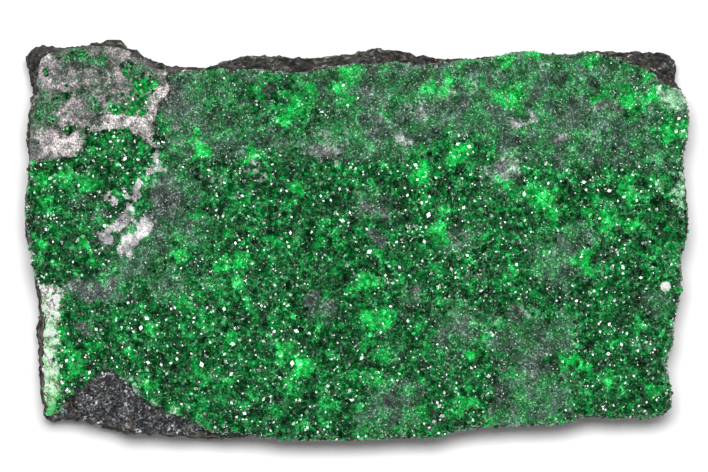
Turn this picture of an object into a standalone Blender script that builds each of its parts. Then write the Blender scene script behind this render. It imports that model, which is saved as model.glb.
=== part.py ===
"""A hand specimen of uvarovite garnet: a broken slab of chromite rock whose upper face carries a crust
of small green garnet crystals, with a patch of grey-lilac chlorite and a pale seam of calcite.

The slab lies on its back with the garnets up. Lengths are in millimetres until each finished mesh is
brought to metres. +X runs along the slab, +Y towards its broken back edge, and the origin is under
the middle of the slab at the surface that it rests on.
"""

import math
import random

import bmesh
import bpy
from mathutils import Vector, noise
from mathutils.geometry import delaunay_2d_cdt

METRES = 0.001

# The slab: half its length and width, the height of its upper face and that of its widest girth
HALF_LENGTH = 30.0
HALF_WIDTH = 18.1
SLAB_TOP = 9.0
WIDEST_HEIGHT = 4.2
OUTLINE_STEP = 1.25

# The rock's grain: on the even face under the crust, on the bare corner, and on the worn back
SEAT_GRAIN = 4.5
CORNER_GRAIN = 1.0
CORNER_RISE = 0.22
CORNER_ROUGHNESS = 0.28
CORNER_FALL = 0.13
BACK_GRAIN = 2.4
BACK_HOLLOW = 1.5

# The crust stands a hair over the rock, so that the two are separate solids
SEAT_GAP = 0.3
CRUST_FOOT = SLAB_TOP + SEAT_GAP
CRUST_EDGE = 0.35
RELIEF = 0.32
RELIEF_SIZE = 13.0
BACKWARD_FALL = 0.035

# The minerals of the crust: their thickness, and the size of their crystals or grains
GARNET_THICKNESS = 0.8
CRYSTAL_WIDTH = 1.55
CRYSTAL_RISE = (0.3, 0.85)
FINE_SHARE = 0.5
CHLORITE_THICKNESS = 0.85
CHLORITE_GRAIN = 1.15
CHLORITE_LUMP = 0.16
PIT_DEPTH = 0.55
SEAM_THICKNESS = 0.35
SEAM_SLOPE = 0.5
SEAM_GRAIN = 0.7

# The broken outline seen from above, clockwise from the back left corner. Each point holds x, y and the
# width of the rock ledge between the outline and the foot of the crust.
BACK_EDGE = [
    (-29.9, 16.6, 1.1), (-29.3, 17.2, 0.8), (-28.4, 17.5, 0.6), (-26.4, 17.3, 0.1),
    (-24.1, 17.6, 0.1), (-23.3, 17.9, 0.4), (-22.5, 18.1, 1.0), (-21.6, 18.1, 1.3),
    (-20.8, 17.4, 1.2), (-20.1, 17.3, 1.3), (-19.2, 16.4, 1.2), (-18.0, 16.1, 1.3),
    (-17.4, 15.7, 1.1), (-15.6, 15.6, 0.6), (-13.8, 15.5, 0.2), (-12.8, 15.8, 0.4),
    (-11.7, 16.2, 1.1), (-9.6, 16.6, 1.4), (-6.2, 16.6, 1.8), (-4.5, 16.4, 1.5),
    (-0.3, 16.8, 1.1), (1.8, 17.3, 1.7), (3.6, 17.0, 1.1), (6.6, 16.5, 1.0),
    (8.1, 16.3, 0.5), (10.0, 16.4, 0.3), (13.1, 16.5, 0.1), (14.4, 16.9, 0.1),
    (15.8, 17.0, 0.1), (17.4, 16.7, 0.1), (19.6, 16.7, 0.1), (20.8, 17.0, 0.1),
    (22.3, 16.9, 0.3), (24.6, 17.0, 0.9), (26.8, 17.0, 1.5), (28.3, 16.6, 1.8),
]
RIGHT_EDGE = [
    (28.8, 15.9, 1.7), (28.9, 15.0, 1.3), (29.2, 13.6, 0.2), (29.7, 12.6, 0.1),
    (30.0, 11.3, 0.1), (29.8, 9.4, 0.1), (29.4, 7.5, 0.1), (29.7, 4.3, 0.2),
    (29.8, 0.5, 0.1), (29.2, -1.4, 0.1), (29.2, -2.5, 0.1), (29.3, -4.5, 0.1),
    (28.6, -7.4, 0.1), (28.5, -9.5, 0.1), (27.9, -10.3, 0.1), (28.0, -12.2, 0.1),
    (28.4, -13.9, 0.1), (28.3, -15.2, 0.1),
]
FRONT_EDGE = [
    (27.6, -15.8, 0.1), (25.7, -16.0, 0.1), (20.6, -16.0, 0.1), (18.8, -16.6, 0.1),
    (13.5, -16.8, 0.1), (9.5, -17.1, 0.1), (7.3, -17.7, 0.1), (4.3, -17.8, 0.1),
    (1.3, -18.0, 0.1), (-5.4, -18.1, 0.1), (-8.9, -17.8, 0.2), (-12.6, -17.9, 0.2),
    (-18.0, -17.6, 0.2), (-20.8, -17.5, 0.2), (-22.1, -17.0, 0.3), (-25.1, -16.4, 0.3),
    (-26.7, -16.2, 0.4), (-27.6, -16.4, 0.4),
]
LEFT_EDGE = [
    (-28.2, -15.8, 0.4), (-28.5, -14.8, 0.5), (-28.5, -13.2, 0.4), (-28.6, -11.2, 0.4),
    (-28.7, -9.7, 0.6), (-28.9, -8.8, 0.8), (-28.8, -7.8, 0.8), (-28.6, -6.8, 0.5),
    (-28.9, -4.0, 0.3), (-29.2, -2.0, 0.1), (-29.8, 0.4, 0.4), (-30.0, 3.1, 0.3),
    (-29.6, 5.4, 0.1), (-29.7, 7.5, 0.3), (-29.7, 11.4, 0.3), (-29.3, 13.2, 0.4),
    (-29.5, 15.1, 0.7),
]

# Where the crust has broken away and bares the rock: the crust's broken border, and then points that
# lie clear of the slab
BARE_BORDER = [
    (-29.4, -17.1), (-27.9, -15.9), (-26.7, -15.0), (-25.1, -13.3), (-24.0, -12.5), (-22.7, -11.7),
    (-22.1, -11.6), (-20.8, -12.7), (-19.9, -13.8), (-18.5, -14.8), (-16.1, -15.8), (-14.9, -16.1),
    (-14.1, -16.8), (-12.8, -17.4), (-9.5, -17.5), (-8.5, -18.4),
]
BARE_CORNER = BARE_BORDER + [(-8.5, -20.7), (-29.4, -20.7)]
# Where chlorite lies in place of garnet, in the back left corner, and the pits in it
CHLORITE_AREA = [
    (-30.7, 18.9), (-17.1, 18.9), (-17.1, 14.6), (-16.6, 13.5), (-17.7, 12.2), (-18.1, 10.3),
    (-17.9, 8.1), (-19.1, 8.7), (-20.6, 9.8), (-22.6, 9.8), (-24.1, 9.4), (-25.1, 7.4),
    (-28.4, 6.9), (-30.7, 6.7),
]
PITS = [(-27.9, 15.2, 0.35), (-26.2, 12.9, 0.45), (-25.9, 9.9, 0.4), (-21.8, 15.9, 0.35)]
# Where the broken edge of the crust shows a pale seam, low on the left side
SEAM_AREA = [
    (-29.8, -4.0), (-27.6, -4.0), (-26.5, -4.6), (-26.7, -6.3), (-27.0, -7.6), (-27.0, -10.3),
    (-26.8, -13.7), (-27.4, -15.5), (-28.1, -16.4), (-29.8, -16.6),
]
SEAM_OUTER_X = -28.7


def clear_scene():
    for old in list(bpy.data.objects):
        bpy.data.objects.remove(old, do_unlink=True)


def smooth_outline():
    """The broken outline as evenly spaced points, counter-clockwise, each with its ledge width."""
    corners = [Vector(p) for p in reversed(BACK_EDGE + RIGHT_EDGE + FRONT_EDGE + LEFT_EDGE)]
    points = []
    for i, here in enumerate(corners):
        before = corners[i - 1]
        after = corners[(i + 1) % len(corners)]
        beyond = corners[(i + 2) % len(corners)]
        steps = max(1, round((after - here).xy.length / OUTLINE_STEP))
        for k in range(steps):
            t = k / steps
            straight = (after - before) * t
            bend = (2 * before - 5 * here + 4 * after - beyond) * t ** 2
            twist = (3 * here - before - 3 * after + beyond) * t ** 3
            points.append(here + 0.5 * (straight + bend + twist))
    return points


def inset(points, depths):
    """Moves each point in by its depth. The outline shrinks about its middle, so no points cross."""
    return [
        Vector((p.x * (1 - depth / HALF_LENGTH), p.y * (1 - depth / HALF_WIDTH)))
        for p, depth in zip(points, depths)
    ]


def is_inside(x, y, polygon):
    inside = False
    for i, (x1, y1) in enumerate(polygon):
        x0, y0 = polygon[i - 1]
        if (y0 > y) != (y1 > y) and x < x0 + (y - y0) / (y1 - y0) * (x1 - x0):
            inside = not inside
    return inside


def distance_to(x, y, corners):
    """How far a point lies from a line of corners."""
    point = Vector((x, y))
    nearest = math.inf
    for start, end in zip(corners, corners[1:]):
        side = Vector(end) - Vector(start)
        t = (point - Vector(start)).dot(side) / max(side.length_squared, 1e-12)
        foot = Vector(start) + side * max(0.0, min(1.0, t))
        nearest = min(nearest, (foot - point).length)
    return nearest


def scattered(polygon, grain, margin, seed, jitter=0.24):
    """Points inside a polygon on a loose triangular grid, one for each grain."""
    pick = random.Random(seed)
    row_height = grain * math.sqrt(3) / 2
    low_x = min(p[0] for p in polygon)
    high_x = max(p[0] for p in polygon)
    low_y = min(p[1] for p in polygon)
    high_y = max(p[1] for p in polygon)
    found = []
    for row in range(int((high_y - low_y) / row_height) + 1):
        for column in range(int((high_x - low_x) / grain) + 1):
            x = low_x + grain * (column + 0.5 * (row % 2) + pick.uniform(-jitter, jitter))
            y = low_y + row_height * row + grain * pick.uniform(-jitter, jitter)
            if is_inside(x, y, polygon) and distance_to(x, y, polygon + polygon[:1]) > margin:
                found.append((x, y))
    return found


def rough(x, y, size, seed):
    """Smooth noise from about -1 to 1, with hills of about the given size."""
    return noise.fractal(Vector((x / size, y / size, seed)), 1.0, 2.0, 3)


def slab_face(x, y):
    """The rock's upper face: even under the crust, grainy and falling forward where it is bare."""
    if not is_inside(x, y, BARE_CORNER):
        return SLAB_TOP
    ease = min(1.0, distance_to(x, y, BARE_BORDER))
    forward = max(0.0, BARE_BORDER[4][1] - y)
    grainy = CORNER_RISE + CORNER_ROUGHNESS * rough(x, y, 1.3, 9.1)
    return SLAB_TOP + ease * grainy - CORNER_FALL * forward


def back_face(x, y):
    """The rock's back: broad worn flats at the resting surface, one of them in the middle, between
    shallow hollows."""
    middle = math.exp(-(x / 7.7) ** 2 - (y / 5.5) ** 2)
    hollow = BACK_HOLLOW * (rough(x, y, 11.0, 2.2) - middle) + 0.35 * rough(x, y, 3.0, 6.0)
    return max(0.0, hollow - 0.12)


def relief(x, y):
    """How far the crust's face rises or sinks. It falls away towards the back edge."""
    return RELIEF * rough(x, y, RELIEF_SIZE, 4.7) - BACKWARD_FALL * max(0.0, y - 4.0)


def garnet_face(x, y):
    return CRUST_FOOT + GARNET_THICKNESS + relief(x, y)


def chlorite_face(x, y):
    lumps = CHLORITE_LUMP * rough(x, y, 1.6, 7.3)
    pits = sum(
        max(0.0, 1.0 - math.hypot(x - pit_x, y - pit_y) / radius)
        for pit_x, pit_y, radius in PITS
    )
    return CRUST_FOOT + CHLORITE_THICKNESS + relief(x, y) + lumps - PIT_DEPTH * pits


def seam_face(x, y):
    """The seam is a broken edge, so it slopes down and out."""
    slope = SEAM_SLOPE * (x - SEAM_OUTER_X)
    return CRUST_FOOT + SEAM_THICKNESS + slope + 0.1 * rough(x, y, 1.0, 3.3)


def crystal_share(y):
    """The garnets are coarse over the front of the crust and fine along its back."""
    back_share = max(0.0, min(1.0, (y - 5.0) / 5.0))
    return 1.0 - (1.0 - FINE_SHARE) * back_share


def ring(mesh, flat, heights):
    return [mesh.verts.new((p.x, p.y, z)) for p, z in zip(flat, heights)]


def join_rings(mesh, lower, upper):
    for i in range(len(lower)):
        j = (i + 1) % len(lower)
        mesh.faces.new((lower[i], lower[j], upper[j], upper[i]))


def cover(mesh, rim, spots, height):
    """Closes a rim of vertices with triangles through the given spots, and returns the new vertices."""
    flat = [v.co.xy for v in rim] + [Vector(spot) for spot in spots]
    points, _, faces, sources, _, _ = delaunay_2d_cdt(flat, [], [list(range(len(rim)))], 1, 1e-5)
    corners = []
    for point, source in zip(points, sources):
        if source and source[0] < len(rim):
            corners.append(rim[source[0]])
        else:
            corners.append(mesh.verts.new((point.x, point.y, height(point.x, point.y))))
    for face in faces:
        mesh.faces.new([corners[i] for i in face])
    return [v for v in corners if v not in rim]


def finished(name, mesh, material=None):
    """Turns a mesh in millimetres into an object in metres."""
    bmesh.ops.triangulate(mesh, faces=mesh.faces)
    bmesh.ops.recalc_face_normals(mesh, faces=mesh.faces)
    bmesh.ops.scale(mesh, vec=(METRES, METRES, METRES), verts=mesh.verts)
    data = bpy.data.meshes.new(name)
    mesh.to_mesh(data)
    mesh.free()
    made = bpy.data.objects.new(name, data)
    bpy.context.scene.collection.objects.link(made)
    if material:
        data.materials.append(material)
    return made


def mineral(name, colour, roughness):
    made = bpy.data.materials.new(name)
    made.use_nodes = True
    shader = made.node_tree.nodes["Principled BSDF"]
    shader.inputs["Base Color"].default_value = (*colour, 1.0)
    shader.inputs["Roughness"].default_value = roughness
    shader.inputs["Metallic"].default_value = 0.0
    return made


def build_slab(outline):
    """The rock: rough rings from the worn back up to the foot of the crust, closed above and below."""
    mesh = bmesh.new()
    # Height, inset at the edge, share of the ledge that is taken off, and roughness
    levels = [
        (0.15, 1.9, 0.0, 1.0),
        (1.2, 0.85, 0.0, 0.9),
        (2.7, 0.2, 0.0, 0.8),
        (WIDEST_HEIGHT, 0.0, 0.0, 0.0),
        (5.6, 0.1, 0.1, 0.8),
        (7.0, 0.05, 0.45, 0.7),
        (8.2, 0.0, 0.85, 0.5),
    ]
    rings = []
    for level, (height, edge, share, roughness) in enumerate(levels):
        depths = [
            edge + share * p.z + roughness * abs(rough(p.x, p.y, 2.6, 1.7 * level))
            for p in outline
        ]
        heights = [max(0.0, height + 0.45 * rough(p.x, p.y, 3.4, 5.0 + level)) for p in outline]
        rings.append(ring(mesh, inset(outline, depths), heights))
    lip = inset(outline, [p.z for p in outline])
    rings.append(ring(mesh, lip, [slab_face(p.x, p.y) for p in lip]))
    for lower, upper in zip(rings, rings[1:]):
        join_rings(mesh, lower, upper)

    lip_polygon = [tuple(p) for p in lip]
    seat = [
        spot
        for spot in scattered(lip_polygon, SEAT_GRAIN, 1.5, seed=1)
        if not is_inside(*spot, BARE_CORNER)
    ]
    bare = [
        spot
        for spot in scattered(BARE_CORNER, CORNER_GRAIN, 0.15, seed=2)
        if is_inside(*spot, lip_polygon) and distance_to(*spot, lip_polygon) > 0.45
    ]
    cover(mesh, rings[-1], seat + bare, slab_face)
    foot_polygon = [tuple(v.co.xy) for v in rings[0]]
    cover(mesh, rings[0], scattered(foot_polygon, BACK_GRAIN, 1.0, seed=3), back_face)
    return finished("chromite_slab", mesh, mineral("chromite", (0.055, 0.052, 0.048), 0.55))


def build_plate(name, lip, face_height, grain, seed, material, spots=()):
    """A crust over the whole slab: a flat foot, a short sloping edge and a face of grains. The garnet
    crust's grains become crystals."""
    mesh = bmesh.new()
    foot = ring(mesh, lip, [CRUST_FOOT] * len(lip))
    shoulder_line = inset(lip, [CRUST_EDGE] * len(lip))
    shoulder = ring(mesh, shoulder_line, [face_height(p.x, p.y) for p in shoulder_line])
    join_rings(mesh, foot, shoulder)
    mesh.faces.new(foot)
    polygon = [tuple(p) for p in shoulder_line]
    grains = scattered(polygon, grain, 0.45 * grain, seed)
    tips = cover(mesh, shoulder, grains + list(spots), face_height)
    if face_height is garnet_face:
        raise_crystals(mesh, set(tips), seed)
    return finished(name, mesh, material)


def raise_crystals(mesh, tips, seed):
    """Makes each grain a crystal with flat faces. Valleys are poked between the tips, and the edges
    from tip to tip are turned to run from valley to valley."""
    pick = random.Random(seed)
    top = [f for f in mesh.faces if any(v in tips for v in f.verts)]
    between = [e for e in mesh.edges if e.verts[0] in tips and e.verts[1] in tips]
    for valley in bmesh.ops.poke(mesh, faces=top)["verts"]:
        valley.co.z = garnet_face(valley.co.x, valley.co.y)
    bmesh.ops.rotate_edges(mesh, edges=between, use_ccw=False)
    lean = 0.12 * CRYSTAL_WIDTH
    for tip in sorted(tips, key=lambda v: (v.co.x, v.co.y)):
        tip.co.x += pick.uniform(-lean, lean)
        tip.co.y += pick.uniform(-lean, lean)
        rise = crystal_share(tip.co.y) * pick.uniform(*CRYSTAL_RISE)
        tip.co.z = garnet_face(tip.co.x, tip.co.y) + rise


def pit_spots():
    """Grains placed at each pit's bottom and round its mouth, so that the pit has its full depth."""
    spots = []
    for x, y, radius in PITS:
        spots.append((x, y))
        for k in range(6):
            turn = math.tau * k / 6
            spots.append((x + radius * math.cos(turn), y + radius * math.sin(turn)))
    return spots


def build_column(name, polygon, spread):
    """An upright column through the crust, over a polygon grown by the given spread."""
    corners = [Vector(p) for p in polygon]
    turn = sum(a.x * b.y - b.x * a.y for a, b in zip(corners, corners[1:] + corners[:1]))
    if turn < 0:
        corners.reverse()
    grown = []
    for i, here in enumerate(corners):
        before = (here - corners[i - 1]).normalized()
        after = (corners[(i + 1) % len(corners)] - here).normalized()
        along = (before + after).normalized()
        grown.append(here + Vector((along.y, -along.x)) * spread)
    mesh = bmesh.new()
    lower = ring(mesh, grown, [CRUST_FOOT - 3.0] * len(grown))
    upper = ring(mesh, grown, [CRUST_FOOT + 5.0] * len(grown))
    join_rings(mesh, lower, upper)
    mesh.faces.new(upper)
    mesh.faces.new(lower)
    made = finished(name, mesh)
    made.hide_render = True
    made.display_type = "WIRE"
    return made


def trim(piece, operation, columns):
    for column in columns:
        change = piece.modifiers.new(column.name, "BOOLEAN")
        change.operation = operation
        change.object = column
        change.solver = "EXACT"


def main():
    clear_scene()
    outline = smooth_outline()
    lip = inset(outline, [p.z for p in outline])
    half_gap = SEAT_GAP / 2

    build_slab(outline)

    green = mineral("garnet", (0.02, 0.20, 0.055), 0.15)
    crust = build_plate("garnet_crust", lip, garnet_face, CRYSTAL_WIDTH, 11, green)
    trim(
        crust,
        "DIFFERENCE",
        [
            build_column("corner_cutter", BARE_CORNER, half_gap),
            build_column("chlorite_cutter", CHLORITE_AREA, half_gap),
            build_column("seam_cutter", SEAM_AREA, half_gap),
        ],
    )

    lilac = mineral("chlorite", (0.19, 0.20, 0.18), 0.7)
    patch = build_plate("chlorite_patch", lip, chlorite_face, CHLORITE_GRAIN, 12, lilac, pit_spots())
    trim(patch, "INTERSECT", [build_column("chlorite_keeper", CHLORITE_AREA, -half_gap)])

    pale = mineral("calcite", (0.55, 0.68, 0.50), 0.6)
    seam = build_plate("calcite_seam", lip, seam_face, SEAM_GRAIN, 13, pale)
    trim(seam, "INTERSECT", [build_column("seam_keeper", SEAM_AREA, -half_gap)])


main()
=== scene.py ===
import math

import bpy
import numpy as np
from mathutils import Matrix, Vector, noise
from mathutils.bvhtree import BVHTree


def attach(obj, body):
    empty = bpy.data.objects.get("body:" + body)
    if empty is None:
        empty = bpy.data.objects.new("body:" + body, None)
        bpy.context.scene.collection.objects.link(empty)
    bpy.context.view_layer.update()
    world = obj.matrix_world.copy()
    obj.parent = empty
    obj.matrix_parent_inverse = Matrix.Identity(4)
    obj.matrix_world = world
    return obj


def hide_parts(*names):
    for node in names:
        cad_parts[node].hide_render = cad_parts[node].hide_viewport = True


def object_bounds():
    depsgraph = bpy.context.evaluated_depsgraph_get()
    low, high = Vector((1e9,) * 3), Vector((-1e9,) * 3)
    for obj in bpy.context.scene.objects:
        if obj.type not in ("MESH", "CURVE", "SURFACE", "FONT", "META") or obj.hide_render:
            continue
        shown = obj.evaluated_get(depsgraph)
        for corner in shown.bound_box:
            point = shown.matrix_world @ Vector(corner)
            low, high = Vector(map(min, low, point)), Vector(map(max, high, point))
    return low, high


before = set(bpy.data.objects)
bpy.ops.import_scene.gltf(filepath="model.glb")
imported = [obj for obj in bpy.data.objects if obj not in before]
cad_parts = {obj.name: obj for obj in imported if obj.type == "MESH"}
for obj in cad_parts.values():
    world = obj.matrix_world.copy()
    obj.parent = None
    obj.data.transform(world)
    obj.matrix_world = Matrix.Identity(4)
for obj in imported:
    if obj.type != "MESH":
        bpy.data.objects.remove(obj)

cad_low, cad_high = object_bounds()


# The rock. A slab of chromite ore, grey-black and granular, that was broken out of a vein with a
# hammer. Its broken sides have a thin brown crust from weathering, and everything else on the
# specimen grew on its upper face.
MM = 0.001
# The ends of the whole specimen
REACH = (np.array(cad_low) / MM, np.array(cad_high) / MM)
ROCK_TOP = 9.0
# The front left corner, where the garnet crust has broken off
BARE_CORNER = [
    (-29.4, -15.0), (-27.9, -15.9), (-26.0, -14.5), (-24.0, -12.5), (-22.5, -11.5), (-20.9, -12.7),
    (-18.5, -14.8), (-16.1, -15.9), (-14.2, -16.8), (-12.8, -17.4), (-9.3, -17.4), (-8.5, -20.7),
    (-29.4, -20.7),
]
# Wear of the rock: the size and depth of its lumps and grains, what is taken off for their average,
# and the share of it all that the flat back has
LUMP_SIZE, LUMP_DEPTH = 1.9, 0.62
GRAIN_SIZE, GRAIN_DEPTH = 0.6, 0.2
MEAN_WEAR = 0.24
BACK_SHARE = 0.35
# The height from which the walls have a tan crust
TAN_FROM = 5.5


def take_up(piece):
    """Selects this piece alone, so that the next operator acts on nothing else."""
    for other in list(bpy.context.selected_objects):
        other.select_set(False)
    bpy.context.view_layer.objects.active = piece
    piece.select_set(True)


def copy_solid(node, name):
    """Copies a solid of the specimen and merges its loose triangles into one surface."""
    piece = bpy.data.objects.new(name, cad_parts[node].data.copy())
    piece.data.name = name
    bpy.context.scene.collection.objects.link(piece)
    take_up(piece)
    bpy.ops.object.mode_set(mode="EDIT")
    bpy.ops.mesh.select_all(action="SELECT")
    bpy.ops.mesh.remove_doubles(threshold=1e-6)
    bpy.ops.object.mode_set(mode="OBJECT")
    piece.data.materials.clear()
    return piece


def refine(piece, cuts, wanted, smoothing=0, level=0.0):
    """Cuts the wanted faces into finer ones, and evens out the coarse points above a level."""
    take_up(piece)
    bpy.context.tool_settings.mesh_select_mode = (False, False, True)
    faces = piece.data.polygons
    chosen = [bool(wanted(face.center / MM, face.normal)) for face in faces]
    piece.data.vertices.foreach_set("select", [False] * len(piece.data.vertices))
    piece.data.edges.foreach_set("select", [False] * len(piece.data.edges))
    faces.foreach_set("select", chosen)
    bpy.ops.object.mode_set(mode="EDIT")
    bpy.ops.mesh.subdivide(number_cuts=cuts)
    bpy.ops.mesh.select_all(action="DESELECT")
    bpy.ops.object.mode_set(mode="OBJECT")
    if smoothing:
        bpy.context.tool_settings.mesh_select_mode = (True, False, False)
        high = [vertex.co.z > level * MM for vertex in piece.data.vertices]
        piece.data.vertices.foreach_set("select", high)
        bpy.ops.object.mode_set(mode="EDIT")
        bpy.ops.mesh.vertices_smooth(factor=0.5, repeat=smoothing)
        bpy.ops.object.mode_set(mode="OBJECT")


def points_of(piece):
    """The piece's points and the way out from each, in millimetres."""
    count = len(piece.data.vertices)
    points = np.empty(count * 3, np.float32)
    piece.data.vertices.foreach_get("co", points)
    normals = np.empty(count * 3, np.float32)
    piece.data.vertex_normals.foreach_get("vector", normals)
    return points.reshape(-1, 3) / MM, normals.reshape(-1, 3)


def put_points(piece, points):
    piece.data.vertices.foreach_set("co", (points * MM).astype(np.float32).ravel())
    piece.data.update()


def note_on(piece, name, values):
    """Writes one number for each face, for the piece's material to read."""
    layer = piece.data.attributes.new(name, "FLOAT", "FACE")
    layer.data.foreach_set("value", np.asarray(values, np.float32))


def middles_of(piece):
    return np.array([face.center for face in piece.data.polygons]) / MM


def lumps(point, size, octaves=3):
    """Smooth noise from about -1 to 1, with lumps of about the given size in millimetres."""
    return noise.fractal(Vector(point) / size, 1.0, 2.0, octaves)


def is_inside(x, y, border):
    """Whether a place lies within a closed border."""
    inside = False
    for (ax, ay), (bx, by) in zip(border, border[1:] + border[:1]):
        if (ay > y) != (by > y) and x < ax + (y - ay) * (bx - ax) / (by - ay):
            inside = not inside
    return inside


def is_crusted(place, way):
    """Whether a place on the rock lies under the crust, where it stays flat."""
    on_top = way[2] > 0.9 and place[2] > ROCK_TOP - 0.05
    return on_top and not is_inside(place[0], place[1], BARE_CORNER)


def in_bare_corner(face):
    """Whether a face is of the fresh rock in the front left corner."""
    x, y, _ = face.center
    return face.normal.z > 0.7 and is_inside(x / MM, y / MM, BARE_CORNER)


rock = copy_solid("chromite_slab", "chromite_rock")
refine(rock, 4, lambda place, way: not is_crusted(place, way))
rock_points, rock_normals = points_of(rock)
pick = np.random.default_rng(1)
for i, (point, way) in enumerate(zip(rock_points, rock_normals)):
    if is_crusted(point, way):
        continue
    wear = LUMP_DEPTH * abs(lumps(point, LUMP_SIZE))
    wear += GRAIN_DEPTH * abs(lumps(point + 40.0, GRAIN_SIZE, 2))
    wear = wear + 0.05 * pick.random() - MEAN_WEAR
    if way[2] < -0.8:
        wear *= BACK_SHARE
    rock_points[i] = point - way * wear
rock_points = np.clip(rock_points, *REACH)
put_points(rock, rock_points)
weathered = np.array([0.0 if in_bare_corner(face) else 1.0 for face in rock.data.polygons])
note_on(rock, "weathering", weathered)
rock_middles = middles_of(rock)
walls = np.array([min(max((0.9 - face.normal.z) / 0.4, 0.0), 1.0) for face in rock.data.polygons])
rock_drift = np.array([lumps(place, 4.0) for place in rock_middles])
tan_height = np.clip((rock_middles[:, 2] - TAN_FROM + 3.0 * rock_drift) / 3.5, 0, 1)
tan_front = np.clip((8.0 - rock_middles[:, 1]) / 8.0, 0, 1)
note_on(rock, "tan", weathered * walls * tan_height * tan_front)


class Finish:
    """A material put together from linked shader nodes."""

    def __init__(self, name, roughness, refraction=1.5):
        self.material = bpy.data.materials.new(name)
        self.material.use_nodes = True
        self.tree = self.material.node_tree
        self.surface = self.tree.nodes["Principled BSDF"]
        self.surface.inputs["Roughness"].default_value = roughness
        self.surface.inputs["IOR"].default_value = refraction
        self.place = self.add("TexCoord").outputs["Object"]

    def add(self, kind, **settings):
        made = self.tree.nodes.new("ShaderNode" + kind)
        for name, value in settings.items():
            setattr(made, name, value)
        return made

    def link(self, source, target):
        """Joins an output, or puts a plain number or colour, to an input."""
        if isinstance(source, tuple):
            target.default_value = (*source, 1.0)
        elif isinstance(source, (int, float)):
            target.default_value = source
        else:
            self.tree.links.new(source, target)

    def note(self, name):
        """A number written on the mesh."""
        return self.add("Attribute", attribute_name=name).outputs["Fac"]

    def cloud(self, size, detail=3.0, sharpness=0.5, shift=0.0):
        """Noise with patches of about the given size in millimetres."""
        moved = self.add("VectorMath", operation="ADD")
        self.link(self.place, moved.inputs[0])
        moved.inputs[1].default_value = (shift * MM, 2.3 * shift * MM, 0.7 * shift * MM)
        made = self.add("TexNoise")
        made.inputs["Scale"].default_value = 1.0 / (size * MM)
        made.inputs["Detail"].default_value = detail
        made.inputs["Roughness"].default_value = sharpness
        self.link(moved.outputs["Vector"], made.inputs["Vector"])
        return made.outputs["Fac"]

    def ramp(self, source, *stops):
        """Colours along a range of numbers. Each stop holds its place and its red, green and blue."""
        made = self.add("ValToRGB")
        marks = made.color_ramp.elements
        while len(marks) < len(stops):
            marks.new(0.5)
        for mark, (at, *colour) in zip(marks, stops):
            mark.position = at
            mark.color = (*colour, 1.0)
        self.link(source, made.inputs["Fac"])
        return made.outputs["Color"]

    def span(self, source, low, high, to_low=0.0, to_high=1.0):
        """Stretches a part of a range of numbers onto another range."""
        made = self.add("MapRange")
        ends = {"From Min": low, "From Max": high, "To Min": to_low, "To Max": to_high}
        for name, value in ends.items():
            made.inputs[name].default_value = value
        self.link(source, made.inputs["Value"])
        return made.outputs["Result"]

    def reckon(self, operation, first, second):
        """One sum of two numbers, such as MULTIPLY or MAXIMUM."""
        made = self.add("Math", operation=operation)
        self.link(first, made.inputs[0])
        self.link(second, made.inputs[1])
        return made.outputs["Value"]

    def ragged(self, source, size, low, high, shift):
        """Breaks up the soft edge of a patch with noise of the given size in millimetres."""
        tear = self.span(self.cloud(size, 4.0, 0.65, shift), 0.3, 0.7, 0.35, 1.5)
        return self.span(self.reckon("MULTIPLY", tear, source), low, high)

    def cracks(self, size, width, shift):
        """Thin winding lines, about the given size in millimetres apart."""
        away = self.reckon("SUBTRACT", self.cloud(size, 3.0, 0.6, shift), 0.5)
        return self.span(self.reckon("MULTIPLY", away, away), 0.0, width * width, 1.0, 0.0)

    def blend(self, share, first, second, kind="MIX"):
        """The first colour, covered by the second where the share is high."""
        made = self.add("Mix", data_type="RGBA", blend_type=kind)
        self.link(share, made.inputs["Factor"])
        self.link(first, made.inputs["A"])
        self.link(second, made.inputs["B"])
        return made.outputs["Result"]

    def colour(self, source):
        self.link(source, self.surface.inputs["Base Color"])

    def gloss(self, source):
        self.link(source, self.surface.inputs["Roughness"])

    def bumps(self, source, height, strength=1.0):
        """Relief too fine to model, of the given height in millimetres."""
        made = self.add("Bump")
        made.inputs["Strength"].default_value = strength
        made.inputs["Distance"].default_value = height * MM
        self.link(source, made.inputs["Height"])
        self.link(made.outputs["Normal"], self.surface.inputs["Normal"])


# The rock's grains show as cells of one tone each; the brightest tones are painted glints.
CELL_SIZE = 0.42
ore = Finish("chromite_ore", 0.5, 1.35)
cells = ore.add("TexVoronoi")
cells.inputs["Scale"].default_value = 1.0 / (CELL_SIZE * MM)
ore.link(ore.place, cells.inputs["Vector"])
cell_tone = ore.add("SeparateColor")
ore.link(cells.outputs["Color"], cell_tone.inputs["Color"])
ore_tone = ore.blend(ore.note("loose"), cell_tone.outputs["Red"], ore.note("facet"))
# Painted glints: the top of this ramp makes the brightest cells and grains flash like lit crystal faces.
ore_grains_and_glints = ore.ramp(
    ore_tone,
    (0.0, 0.006, 0.006, 0.008), (0.4, 0.032, 0.032, 0.035), (0.75, 0.088, 0.092, 0.096),
    (0.9, 0.16, 0.165, 0.17), (1.0, 0.36, 0.38, 0.39),
)
ore_fine = ore.ramp(
    ore.cloud(0.24, 3.0, 0.75), (0.36, 0.12, 0.12, 0.13), (0.5, 0.9, 0.9, 0.93), (0.66, 3.6, 3.7, 3.7),
)
ore_body = ore.blend(1.0, ore_grains_and_glints, ore_fine, "MULTIPLY")
ore_crust = ore.ramp(
    ore.cloud(0.3, 5.0, 0.75),
    (0.32, 0.002, 0.0018, 0.001), (0.45, 0.016, 0.0145, 0.01), (0.56, 0.052, 0.046, 0.031),
    (0.7, 0.18, 0.16, 0.105),
)
ore_patches = ore.span(ore.cloud(2.2, 3.0), 0.42, 0.62, 0.35, 0.95)
ore_whole = ore.blend(ore.reckon("MULTIPLY", ore.note("weathering"), ore_patches), ore_body, ore_crust)
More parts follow.
